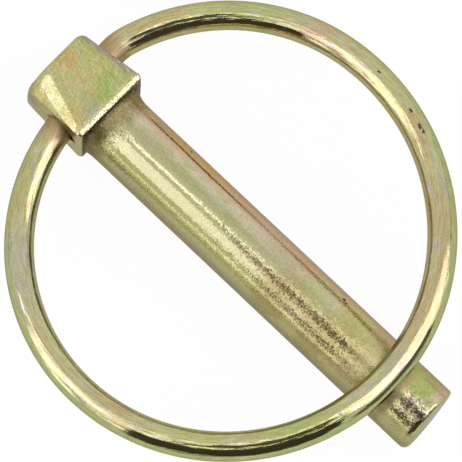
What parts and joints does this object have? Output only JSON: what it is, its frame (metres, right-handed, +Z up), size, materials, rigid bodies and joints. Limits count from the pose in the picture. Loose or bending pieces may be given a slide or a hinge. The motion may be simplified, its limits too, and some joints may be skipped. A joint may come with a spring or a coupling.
{
  "type": "lynch pin",
  "caption": "Lynch pin: a short round shank forged with a square head, and a hinged wire ring that swings over the head and lies across the shank near its tip.",
  "frame": {"origin": "on the shank's axis, where its full-diameter wall begins at the end of the fillet below the head", "axes": "+X along the shank from the head to the tip, +Z up through the side that the ring lies on, +Y across the head towards the mouth of the cross hole that is nearer the head's top end"},
  "size_m": [0.0669, 0.0589, 0.0142],
  "materials": {
    "forged_plating": "forged steel, yellow zinc plated, satin with an olive, gold and lavender bloom",
    "wire_plating": "drawn spring wire, yellow zinc plated, bright with fine draw lines"
  },
  "bodies": {
    "pin": {"pin_body": "forged_plating"},
    "ring": {"snap_ring": "wire_plating"}
  },
  "joints": [
    {"name": "ring_swing", "type": "hinge", "parent": "pin", "child": "ring", "pos_m": [-0.0071, 0, 0], "axis": [0.1788, -0.9839, 0], "range_deg": [0, 345]}
  ]
}
